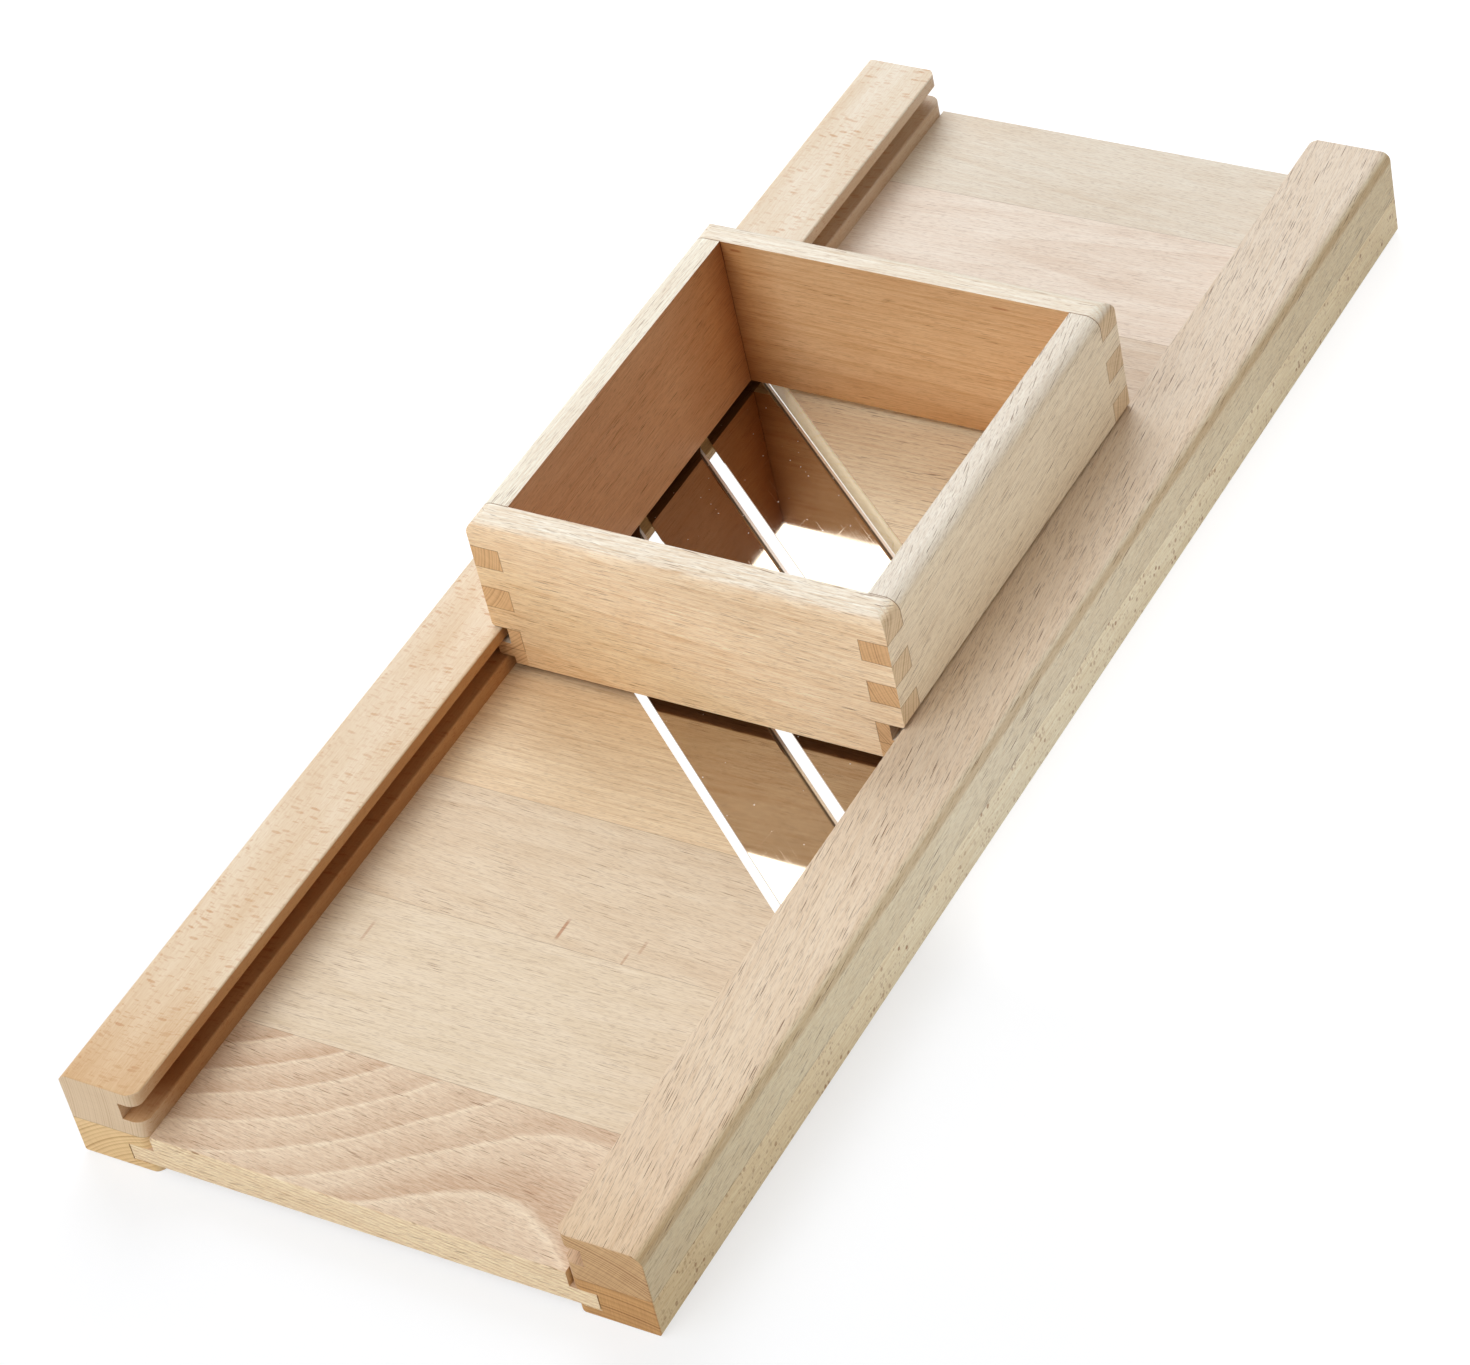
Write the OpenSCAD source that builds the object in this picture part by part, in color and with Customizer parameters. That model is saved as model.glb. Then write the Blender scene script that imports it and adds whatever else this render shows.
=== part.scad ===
// Cabbage cutter of beech: two slotted rails carry a board with three diagonal
// steel blades, and a finger-jointed box slides along the rails over the blades.
// Units are millimetres. X runs across, Y along the rails, Z up.
// The origin lies under the middle of the cutter, on the surface it rests on.

/* [Frame] */
// Length of the rails and of the whole cutter
cutter_length = 600; // [520:10:720]
// Width over the outer faces of the rails
cutter_width = 236; // [200:2:280]
// Width of each rail and of the strip under it
rail_width = 33.5; // [28:0.5:40]
// Rounding of the outer top edge of a rail
rail_round = 5; // [2:0.5:7]
// Rounding, seen from above, of the inner corners at the ends of a rail
rail_end_round = 5; // [2:0.5:6]
// Rounding of the outer bottom edge of a base strip
base_round = 2.5; // [1:0.5:3.5]
// Small rounding that takes the sharpness off the other edges
edge_ease = 0.8; // [0.4:0.1:1.2]

/* [Runner slot] */
// Height of the lip under the slot, above the board
lower_lip = 6.5; // [5:0.5:10]
// Height of the slot
slot_height = 8; // [6:0.5:10]
// Depth of the slot in the rail
slot_depth = 9; // [6:0.5:12]
// Thickness of the lip over the slot
top_lip = 6; // [4:0.5:9]

/* [Board] */
// Thickness of the board
board_thickness = 15; // [13:0.5:20]
// Thickness of the base strip's ledge under the board
ledge_thickness = 4; // [3.5:0.5:7]
// Thickness of the tongue along each side of the board
tongue_thickness = 8; // [5:0.5:9]
// Length of the tongue that enters the base strip
tongue_length = 10.5; // [6:0.5:14]
// Room left between the end of the tongue and the groove
tongue_play = 0.5; // [0.2:0.1:1]
// Width of the stave at the near end of the board
near_end_stave = 59; // [40:1:75]
// Width of the stave next to it
second_stave = 68.5; // [45:0.5:80]
// Width of the third stave from the near end
third_stave = 60; // [45:0.5:75]
// Share of the board between the third stave and the blades that the fourth stave takes
fourth_share = 0.56; // [0.3:0.02:0.7]
// Width of the stave at the far end of the board
far_end_stave = 49; // [35:1:75]

/* [Blades] */
// Angle between the blades and a line straight across the cutter
blade_angle = 38; // [30:1:45]
// Width of a blade
blade_width = 33.7; // [26:0.1:36]
// Thickness of a blade
blade_thickness = 1.2; // [0.8:0.1:2]
// Open gap between the blades, and between them and the board
blade_gap = 4.2; // [3:0.1:6]
// Distance of the middle blade's centre line from the middle of the cutter
blade_offset = -1.9; // [-10:0.1:10]
// How far the opening in the board is set towards the far end, past the middle of the blades
opening_shift = 0.7; // [-1.5:0.1:1.5]
// Width of the ground bevel
bevel_width = 2.8; // [1:0.1:4]
// Thickness left at the cutting edge
edge_thickness = 0.15; // [0.1:0.05:0.3]
// Length without bevel between a rail and the end of the grinding
bevel_margin = 6; // [5:1:20]
// Radius of the grinding at the ends of the bevel
plunge_radius = 45; // [8:1:60]
// Room round a blade in its housing
housing_play = 0.2; // [0.1:0.05:0.4]

/* [Blade screws] */
// Diameter of the screws that hold the blade ends
screw_diameter = 3.8; // [3:0.1:4.5]
// Length of a screw
screw_length = 28; // [22:1:32]
// Diameter of a screw head
screw_head = 7.6; // [6:0.1:9]
// Depth of the head below the bottom of the strip
head_recess = 0.5; // [0.3:0.1:1.5]
// Room round a screw in its hole
screw_play = 0.15; // [0.1:0.05:0.3]
// Length of blade beyond its screw
blade_tail = 6; // [4:0.5:8]

/* [Box] */
// Outer length of the box along the rails
box_length = 184; // [150:1:240]
// Height of the box above the rails
box_rise = 51.4; // [40:0.2:80]
// Thickness of the walls of the box
wall_thickness = 12; // [10:0.5:16]
// Rounding of the outer top edges of the box
box_round = 5.5; // [2:0.5:7]
// Height of the topmost finger
top_finger = 11.6; // [8:0.2:16]
// How far the side walls and the runners reach over the rail's lip
box_overlap = 2.5; // [1.5:0.5:4]
// Room between a side wall and the inner face of the rail
side_play = 3.9; // [1:0.1:4.5]
// Room under the side walls, above the top of the rails
lip_play = 0.4; // [0.4:0.1:3]
// Room between a runner and the floor of its slot
runner_seat = 0.3; // [0.2:0.1:0.5]
// Room between a runner and the roof of its slot
runner_play = 1.1; // [0.4:0.1:2]
// Room between the foot of the box and the board
foot_play = 3; // [1:0.2:5.4]
// Rounding of the lower outer edge of the box where it passes over the rails
overhang_round = 1.5; // [0.5:0.5:3]
// Place of the middle of the box along the rails
box_rest = 38.5; // [-150:0.5:150]
// Where the box lies within its play: 0 in the middle, towards 1 at the right-hand rail
box_side = -0.44; // [-0.8:0.02:0.8]

/* [Hidden] */
$fn = 64;

// Margin by which a cutting shape passes the surface that it cuts
spill = 1;

// Frame, across and along
outer_x = cutter_width / 2;
inner_x = outer_x - rail_width;
near_y = -cutter_length / 2;
far_y = cutter_length / 2;
groove_x = inner_x + tongue_length + tongue_play;
tongue_x = inner_x + tongue_length;

// Heights of the frame, from the surface that it rests on
tongue_top = ledge_thickness + tongue_thickness;
board_top = ledge_thickness + board_thickness;
strip_top = board_top - blade_thickness;
slot_floor = board_top + lower_lip;
slot_roof = slot_floor + slot_height;
rail_top = slot_roof + top_lip;

// Blades: distances are measured square to the blades, from the middle of the cutter
blade_pitch = blade_width + blade_gap;
blade_edge_lead = blade_width / 2;
opening_middle = blade_offset + opening_shift;
opening_half = blade_pitch + blade_edge_lead + blade_gap;
near_cut = opening_middle - opening_half;
far_cut = opening_middle + opening_half;
bevel_angle = atan((blade_thickness - edge_thickness) / bevel_width);
grind_lead = bevel_width / 4;
plunge_length = sqrt(plunge_radius ^ 2 - (plunge_radius - bevel_width - grind_lead) ^ 2);
bevel_half_length = (inner_x - bevel_margin) / cos(blade_angle) - plunge_length;
screw_x = (groove_x + outer_x) / 2;
blade_end_x = screw_x + blade_tail;
screw_head_height = (screw_head - screw_diameter) / 2;
screw_tip_height = screw_diameter;
driver_slot = screw_head / 7;

// Box, across and along
wall_out = inner_x + box_overlap;
wall_in = wall_out - wall_thickness;
rebate_x = inner_x - side_play;
box_shift = box_side * min(side_play, box_overlap);
box_near = box_rest - box_length / 2;
box_far = box_rest + box_length / 2;

// Heights of the box
foot_z = board_top + foot_play;
runner_bottom = slot_floor + runner_seat;
runner_top = slot_roof - runner_play;
overhang_z = rail_top + lip_play;
box_top = overhang_z + box_rise;

// Fingers of the box, as pairs of heights: panels and side walls take turns
finger_height = (box_rise - top_finger) / 4;
finger_edges = [for (i = [0 : 4]) overhang_z + i * finger_height];
panel_fingers = [
    [finger_edges[0], finger_edges[1]],
    [finger_edges[2], finger_edges[3]],
    [finger_edges[4], box_top + spill]
];
side_fingers = [
    [finger_edges[1], finger_edges[2]],
    [finger_edges[3], finger_edges[4]]
];

// Edges of the staves: some staves have their own widths, the others share the rest
near_tip_y = (near_cut + tongue_x * sin(blade_angle)) / cos(blade_angle);
far_tip_y = (far_cut - tongue_x * sin(blade_angle)) / cos(blade_angle);
near_second_y = near_y + near_end_stave;
near_third_y = near_second_y + second_stave;
near_fourth_y = near_third_y + third_stave;
near_fifth_y = near_fourth_y + fourth_share * (near_tip_y - near_fourth_y);
near_edges = [near_y, near_second_y, near_third_y, near_fourth_y, near_fifth_y, near_tip_y];
far_rest_y = far_y - far_end_stave;
far_edges = concat(
    [for (i = [0 : 4]) far_tip_y + i * (far_rest_y - far_tip_y) / 4],
    [far_y]
);

beech = [0.87, 0.77, 0.64];
beech_strip = [0.80, 0.66, 0.48];
beech_box = [0.84, 0.71, 0.54];
steel = [0.76, 0.77, 0.79];
screw_steel = [0.66, 0.67, 0.68];

// Extrudes a section drawn in X and Z along the rails
module along_rails(from_y, to_y) {
    translate([0, to_y, 0])
        rotate([90, 0, 0])
            linear_extrude(to_y - from_y)
                children();
}

// Extrudes a section drawn in Y and Z across the cutter
module across_rails(from_x, to_x) {
    translate([from_x, 0, 0])
        rotate([90, 0, 90])
            linear_extrude(to_x - from_x)
                children();
}

// Rectangle between two corners
module area(low, high) {
    translate(low)
        square(high - low);
}

// What a rounding takes off a corner; inward points from the corner into the wood
module corner_waste(corner, inward, radius) {
    side = radius + spill;
    translate(corner + radius * inward)
        difference() {
            translate(-inward * side / 2)
                square(side, center = true);
            circle(radius);
        }
}

// Rectangle with a rounding of its own at each corner
module rounded_area(low, high, low_low, high_low, high_high, low_high) {
    difference() {
        area(low, high);
        corner_waste(low, [1, 1], low_low);
        corner_waste([high[0], low[1]], [-1, 1], high_low);
        corner_waste(high, [-1, -1], high_high);
        corner_waste([low[0], high[1]], [1, -1], low_high);
    }
}

// Outline of a right-hand rail seen from above
module rail_plan() {
    rounded_area(
        [inner_x, near_y], [outer_x, far_y],
        rail_end_round, edge_ease, edge_ease, rail_end_round
    );
}

// Section of the right-hand upper rail: a block with the runner slot in its inner face
module rail_section() {
    difference() {
        area([inner_x, strip_top], [outer_x, rail_top]);
        area([inner_x - spill, slot_floor], [inner_x + slot_depth, slot_roof]);
        corner_waste([outer_x, rail_top], [-1, -1], rail_round);
        corner_waste([inner_x, rail_top], [1, -1], edge_ease);
        corner_waste([inner_x, slot_roof], [1, 1], edge_ease);
        corner_waste([inner_x, slot_floor], [1, -1], edge_ease);
    }
}

// Section of the right-hand base strip, with the groove for the board's tongue
module strip_section() {
    difference() {
        area([inner_x, 0], [outer_x, strip_top]);
        area([inner_x - spill, ledge_thickness], [groove_x, tongue_top]);
        corner_waste([outer_x, 0], [-1, 1], base_round);
        corner_waste([inner_x, 0], [1, 1], edge_ease);
    }
}

// Shape of a right-hand rail and its strip seen from the side, with eased edges at both ends
module frame_side_view() {
    across_rails(inner_x - spill, outer_x + spill)
        rounded_area([near_y, 0], [far_y, rail_top], edge_ease, edge_ease, edge_ease, edge_ease);
}

module rail_blank() {
    intersection() {
        along_rails(near_y, far_y) rail_section();
        linear_extrude(rail_top) rail_plan();
        frame_side_view();
    }
}

module strip_blank() {
    intersection() {
        along_rails(near_y, far_y) strip_section();
        linear_extrude(strip_top) rail_plan();
        frame_side_view();
    }
}

// Centre line of a blade; place is -1 for the near, 0 for the middle, 1 for the far blade
function blade_centre(place) = blade_offset + place * blade_pitch;

// Place along the rails at which a line at this distance passes a given x
function diagonal_y(distance, x) = (distance - x * sin(blade_angle)) / cos(blade_angle);

// Outline of a blade from above: its ends are cut parallel to the rails
module blade_outline(place, side_room = 0, end_room = 0) {
    back = blade_centre(place) - blade_width / 2 - side_room;
    front = blade_centre(place) + blade_width / 2 + side_room;
    end_x = blade_end_x + end_room;
    polygon([
        [-end_x, diagonal_y(back, -end_x)],
        [end_x, diagonal_y(back, end_x)],
        [end_x, diagonal_y(front, end_x)],
        [-end_x, diagonal_y(front, -end_x)]
    ]);
}

// Places its children at the six blade screws
module at_blade_screws() {
    for (place = [-1 : 1], side = [-1, 1])
        translate([side * screw_x, diagonal_y(blade_centre(place), side * screw_x), 0])
            children();
}

// Recesses for the blade ends in the undersides of the rails
module blade_housings() {
    for (place = [-1 : 1])
        translate([0, 0, strip_top - spill])
            linear_extrude(blade_thickness + spill)
                blade_outline(place, housing_play, housing_play);
}

// Hole for one screw, from the bottom of the strip to its tip
module screw_bore() {
    bore = screw_diameter + 2 * screw_play;
    mouth = screw_head + 2 * screw_play;
    translate([0, 0, -spill])
        cylinder(h = head_recess + screw_length + spill + screw_play, d = bore);
    translate([0, 0, head_recess])
        cylinder(h = (mouth - bore) / 2, d1 = mouth, d2 = bore);
    translate([0, 0, -spill])
        cylinder(h = head_recess + spill, d = mouth);
}

// Grinding along the top of one cutting edge, with a curved run-out at each end;
// it starts grind_lead behind the line at which it enters the blade
module bevel_cut(place) {
    edge = blade_centre(place) + blade_edge_lead;
    middle = -edge * tan(blade_angle);
    rotate([0, 0, -blade_angle])
        translate([middle, edge - bevel_width, board_top])
            rotate([-bevel_angle, 0, 0])
                linear_extrude(blade_thickness + spill)
                    translate([0, plunge_radius - grind_lead]) {
                        square(2 * [bevel_half_length, plunge_radius], center = true);
                        for (side = [-1, 1])
                            translate([side * bevel_half_length, 0])
                                circle(plunge_radius);
                    }
}

module blade(place) {
    color(steel)
        difference() {
            translate([0, 0, strip_top])
                linear_extrude(blade_thickness)
                    blade_outline(place);
            bevel_cut(place);
            at_blade_screws() screw_bore();
        }
}

module far_blade() {
    blade(1);
}

module middle_blade() {
    blade(0);
}

module near_blade() {
    blade(-1);
}

// Countersunk screw standing on its head, with a driver slot and a pointed end
module blade_screw() {
    shank = screw_length - screw_tip_height;
    translate([0, 0, head_recess])
        difference() {
            union() {
                cylinder(h = screw_head_height, d1 = screw_head, d2 = screw_diameter);
                cylinder(h = shank, d = screw_diameter);
                translate([0, 0, shank])
                    cylinder(h = screw_tip_height, d1 = screw_diameter, d2 = edge_ease);
            }
            translate([0, 0, -spill])
                linear_extrude(driver_slot + spill)
                    square([screw_head + spill, driver_slot], center = true);
        }
}

module blade_screws() {
    color(screw_steel)
        at_blade_screws() blade_screw();
}

module right_rail() {
    color(beech)
        difference() {
            rail_blank();
            blade_housings();
            at_blade_screws() screw_bore();
        }
}

module left_rail() {
    color(beech)
        difference() {
            mirror([1, 0, 0]) rail_blank();
            blade_housings();
            at_blade_screws() screw_bore();
        }
}

module right_base_strip() {
    color(beech_strip)
        difference() {
            strip_blank();
            at_blade_screws() screw_bore();
        }
}

module left_base_strip() {
    color(beech_strip)
        difference() {
            mirror([1, 0, 0]) strip_blank();
            at_blade_screws() screw_bore();
        }
}

// Section of the board across the cutter, with a tongue at each side
module board_section() {
    area([-inner_x, ledge_thickness], [inner_x, board_top]);
    area([-tongue_x, ledge_thickness], [tongue_x, tongue_top]);
}

// Shape of the board seen from the side, with eased edges at both ends
module board_side_view() {
    across_rails(-tongue_x - spill, tongue_x + spill)
        rounded_area(
            [near_y, ledge_thickness], [far_y, board_top],
            edge_ease, edge_ease, edge_ease, edge_ease
        );
}

// Everything on the near side of a line parallel to the blades, or on its far side
module half_plane(distance, far_side) {
    reach = cutter_length + cutter_width;
    rotate(-blade_angle)
        translate([-reach, far_side ? distance : distance - 2 * reach])
            square(2 * reach);
}

// One stave of the board, cut off along the opening for the blades
module stave(from_y, to_y, cut, far_side) {
    color(beech)
        intersection() {
            along_rails(from_y, to_y) board_section();
            linear_extrude(rail_top) half_plane(cut, far_side);
            board_side_view();
        }
}

module near_stave(number) {
    stave(near_edges[number - 1], near_edges[number], near_cut, false);
}

module far_stave(number) {
    stave(far_edges[number - 1], far_edges[number], far_cut, true);
}

// Outline of the front and back panels of the box, with gaps for the side walls' fingers
module panel_outline() {
    difference() {
        union() {
            area([-wall_in, foot_z], [wall_in, box_top]);
            rounded_area(
                [-wall_out, overhang_z], [wall_out, box_top],
                overhang_round, overhang_round, box_round, box_round
            );
        }
        for (gap = side_fingers) {
            area([wall_in, gap[0]], [wall_out + spill, gap[1]]);
            area([-wall_out - spill, gap[0]], [-wall_in, gap[1]]);
        }
    }
}

// Shape of the glued box seen from the side: its outer top and bottom edges are rounded
module box_side_view() {
    across_rails(-wall_out - spill, wall_out + spill)
        rounded_area([box_near, foot_z], [box_far, box_top], edge_ease, edge_ease, box_round, box_round);
}

module carriage_front() {
    color(beech_box)
        translate([box_shift, 0, 0])
            intersection() {
                along_rails(box_near, box_near + wall_thickness) panel_outline();
                box_side_view();
            }
}

module carriage_back() {
    color(beech_box)
        translate([box_shift, 0, 0])
            intersection() {
                along_rails(box_far - wall_thickness, box_far) panel_outline();
                box_side_view();
            }
}

// Section of the right-hand side wall: overhang, groove for the rail's lip, runner and foot
module side_section() {
    difference() {
        area([wall_in, foot_z], [wall_out, box_top]);
        area([rebate_x, runner_top], [wall_out + spill, overhang_z]);
        area([rebate_x, foot_z - spill], [wall_out + spill, runner_bottom]);
        corner_waste([wall_out, box_top], [-1, -1], box_round);
        corner_waste([wall_out, overhang_z], [-1, 1], overhang_round);
        corner_waste([wall_out, runner_top], [-1, -1], edge_ease);
        corner_waste([wall_out, runner_bottom], [-1, 1], edge_ease);
    }
}

module side_wall() {
    difference() {
        intersection() {
            along_rails(box_near, box_far) side_section();
            box_side_view();
        }
        for (gap = panel_fingers)
            across_rails(wall_in - spill, wall_out + spill) {
                area([box_near - spill, gap[0]], [box_near + wall_thickness, gap[1]]);
                area([box_far - wall_thickness, gap[0]], [box_far + spill, gap[1]]);
            }
    }
}

module carriage_right_side() {
    color(beech_box)
        translate([box_shift, 0, 0])
            side_wall();
}

module carriage_left_side() {
    color(beech_box)
        translate([box_shift, 0, 0])
            mirror([1, 0, 0]) side_wall();
}

left_rail();
right_rail();
left_base_strip();
right_base_strip();
near_stave(1);  // near_stave_1
near_stave(2);  // near_stave_2
near_stave(3);  // near_stave_3
near_stave(4);  // near_stave_4
near_stave(5);  // near_stave_5
far_stave(1);  // far_stave_1
far_stave(2);  // far_stave_2
far_stave(3);  // far_stave_3
far_stave(4);  // far_stave_4
far_stave(5);  // far_stave_5
far_blade();
middle_blade();
near_blade();
blade_screws();
carriage_front();
carriage_back();
carriage_left_side();
carriage_right_side();
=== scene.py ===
import math

import bpy
from mathutils import Matrix, Vector


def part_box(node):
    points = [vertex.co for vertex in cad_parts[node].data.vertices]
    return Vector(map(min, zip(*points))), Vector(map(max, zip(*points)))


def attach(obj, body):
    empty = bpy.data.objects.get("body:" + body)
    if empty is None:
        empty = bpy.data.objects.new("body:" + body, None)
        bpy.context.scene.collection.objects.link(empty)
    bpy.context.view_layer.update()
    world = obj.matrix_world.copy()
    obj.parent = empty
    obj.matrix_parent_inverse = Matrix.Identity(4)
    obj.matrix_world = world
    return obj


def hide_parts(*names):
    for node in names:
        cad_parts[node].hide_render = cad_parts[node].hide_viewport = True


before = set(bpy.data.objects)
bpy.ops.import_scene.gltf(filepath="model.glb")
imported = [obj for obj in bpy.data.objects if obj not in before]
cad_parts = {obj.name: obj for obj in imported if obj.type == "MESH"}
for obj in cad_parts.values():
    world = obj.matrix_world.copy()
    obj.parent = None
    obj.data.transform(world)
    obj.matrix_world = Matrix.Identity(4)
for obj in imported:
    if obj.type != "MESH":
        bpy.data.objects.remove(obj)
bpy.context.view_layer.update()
scene = bpy.context.scene
print("frame loaded:", len(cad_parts), "pieces")

perMetre = 1000  # patterns are written in millimetres, the scene is in metres

# directions in the frame of the cutter
toTop, toFloor = (0, 0, 1), (0, 0, -1)
toRight, toLeft = (1, 0, 0), (-1, 0, 0)
toFar, toNear = (0, 1, 0), (0, -1, 0)


# screen colour, 0 to 255, as the linear colour that a shader takes
def tone(red, green, blue):
    def linear(v):
        v = v / 255
        return v / 12.92 if v <= 0.04045 else ((v + 0.055) / 1.055) ** 2.4
    return (linear(red), linear(green), linear(blue), 1.0)


# red, green and blue shares as a colour
def opaque(shares):
    return tuple(shares) + (1.0,)


def addNode(tree, kind, **settings):
    node = tree.nodes.new(kind)
    for key, value in settings.items():
        setattr(node, key, value)
    return node


# wires an output, or types in a plain value
def feed(tree, socket, value):
    if isinstance(value, bpy.types.NodeSocket):
        tree.links.new(value, socket)
    else:
        socket.default_value = value


# the same for several sockets, by their labels or numbers
def feedAll(tree, node, values):
    for label, value in values.items():
        feed(tree, node.inputs[label], value)


def calc(tree, operation, *values):
    node = addNode(tree, "ShaderNodeMath", operation=operation)
    feedAll(tree, node, dict(enumerate(values)))
    return node.outputs[0]


def times(tree, first, *others):
    for value in others:
        first = calc(tree, "MULTIPLY", first, value)
    return first


# a value and shares of others
def summed(tree, base, *pairs):
    for value, share in pairs:
        base = calc(tree, "MULTIPLY_ADD", value, share, base)
    return base


def opposite(tree, mask):
    return calc(tree, "SUBTRACT", 1.0, mask)


# noise from 0 to 1 moved to lie round 0
def centred(tree, value):
    return calc(tree, "SUBTRACT", value, 0.5)


# goes from outLow at low to outHigh at high and is level beyond, with soft ends or straight
def ramp(tree, value, low, high, outLow=0.0, outHigh=1.0, soft=True):
    node = addNode(tree, "ShaderNodeMapRange", interpolation_type="SMOOTHSTEP" if soft else "LINEAR")
    feedAll(tree, node, dict(enumerate((value, low, high, outLow, outHigh))))
    return node.outputs[0]


# without the clamp the mix goes on past both colours where the factor leaves 0 to 1
def blendColour(tree, factor, first, second, mode="MIX", clamped=True):
    node = addNode(tree, "ShaderNodeMix", data_type="RGBA", blend_type=mode, clamp_factor=clamped)
    feedAll(tree, node, {0: factor, 6: first, 7: second})
    return node.outputs[2]


def joinXyz(tree, x, y, z):
    node = addNode(tree, "ShaderNodeCombineXYZ")
    feedAll(tree, node, {0: x, 1: y, 2: z})
    return node.outputs[0]


def splitXyz(tree, vector):
    node = addNode(tree, "ShaderNodeSeparateXYZ")
    feed(tree, node.inputs[0], vector)
    return node.outputs


def vectorCalc(tree, operation, first, second):
    node = addNode(tree, "ShaderNodeVectorMath", operation=operation)
    feedAll(tree, node, {0: first, 1: second})
    return node.outputs["Value" if operation == "DOT_PRODUCT" else "Vector"]


# vector divided by a size for each axis, so that a pattern has that size in millimetres
def sized(tree, vector, size):
    return vectorCalc(tree, "DIVIDE", vector, size)


def noise(tree, vector, detail=1.0):
    node = addNode(tree, "ShaderNodeTexNoise")
    feedAll(tree, node, {"Vector": vector, "Scale": 1.0, "Detail": detail})
    return node.outputs[0]


def noiseAlong(tree, value):
    node = addNode(tree, "ShaderNodeTexNoise", noise_dimensions="1D")
    feedAll(tree, node, {"W": value, "Scale": 1.0, "Detail": 0.0})
    return node.outputs[0]


# distance from the middle of a cell, and three random numbers for each cell
def cells(tree, vector):
    node = addNode(tree, "ShaderNodeTexVoronoi", feature="F1")
    feedAll(tree, node, {"Vector": vector, "Scale": 1.0})
    return node.outputs["Distance"], splitXyz(tree, node.outputs["Color"])


def newGroup(name, inputs, outputs):
    tree = bpy.data.node_groups.new(name, "ShaderNodeTree")
    for label, kind, value in inputs:
        socket = tree.interface.new_socket(name=label, in_out="INPUT", socket_type="NodeSocket" + kind)
        if value is not None:
            socket.default_value = value
    for label, kind in outputs:
        tree.interface.new_socket(name=label, in_out="OUTPUT", socket_type="NodeSocket" + kind)
    return tree, addNode(tree, "NodeGroupInput").outputs, addNode(tree, "NodeGroupOutput").inputs


def useGroup(tree, group, values):
    node = addNode(tree, "ShaderNodeGroup", node_tree=group)
    feedAll(tree, node, values)
    return node.outputs


# growth rings round the pith, which is the x axis of the log
def makeLogRings():
    tree, given, out = newGroup(
        "logRings",
        [("Log", "Vector", None), ("Wander", "Float", 1.0), ("Reach", "Float", 140.0),
         ("Breadth", "Float", 30.0)],
        [("Depth", "Float"), ("Ray", "Vector")])
    x, y, z = splitXyz(tree, given["Log"])
    size = joinXyz(tree, given["Reach"], given["Breadth"], given["Breadth"])
    wavy = noise(tree, sized(tree, given["Log"], size))
    fromPith = calc(tree, "SQRT", calc(tree, "ADD", times(tree, y, y), times(tree, z, z)))
    swing = times(tree, calc(tree, "MULTIPLY_ADD", wavy, 2.0, -1.0), given["Wander"])
    arc = times(tree, calc(tree, "ARCTAN2", z, y), fromPith)
    feed(tree, out["Depth"], calc(tree, "ADD", fromPith, swing))
    feed(tree, out["Ray"], joinXyz(tree, x, arc, fromPith))
    return tree


# rings that sweep up the stave and level off at one side, as on a board cut near the root
def makeSweepRings():
    tree, given, out = newGroup(
        "sweepRings",
        [("Vector", "Vector", None), ("Edge", "Float", -300.0), ("Hump", "Float", 26.0),
         ("Hump Middle", "Float", 36.4), ("Hump Reach", "Float", 59.5), ("Far Side", "Float", 1.23),
         ("Narrowing", "Float", -0.0075), ("Bend", "Float", 0.00131), ("Tilt", "Float", -0.198),
         ("Waver", "Float", 5.0), ("Waver Size", "Vector", (26.0, 14.0, 14.0)),
         ("Start", "Float", -3.8), ("Ring Step", "Float", 20.0)],
        [("Depth", "Float")])
    x, y = splitXyz(tree, given["Vector"])[:2]
    height = calc(tree, "SUBTRACT", y, given["Edge"])
    off = calc(tree, "DIVIDE", calc(tree, "SUBTRACT", x, given["Hump Middle"]), given["Hump Reach"])
    off = calc(tree, "MAXIMUM", off, times(tree, off, given["Far Side"]))
    bell = calc(tree, "EXPONENT", times(tree, off, off, -1.0))
    field = times(tree, height, calc(tree, "MULTIPLY_ADD", x, given["Narrowing"], 1.0))
    field = calc(tree, "SUBTRACT", field, times(tree, bell, given["Hump"]))
    wavy = noise(tree, sized(tree, given["Vector"], given["Waver Size"]), 2.0)
    field = summed(tree, field, (times(tree, x, x), given["Bend"]), (x, given["Tilt"]),
                   (wavy, given["Waver"]))
    field = calc(tree, "ADD", field, given["Start"])
    feed(tree, out["Depth"], calc(tree, "DIVIDE", times(tree, field, -1.0), given["Ring Step"]))
    return tree


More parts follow.
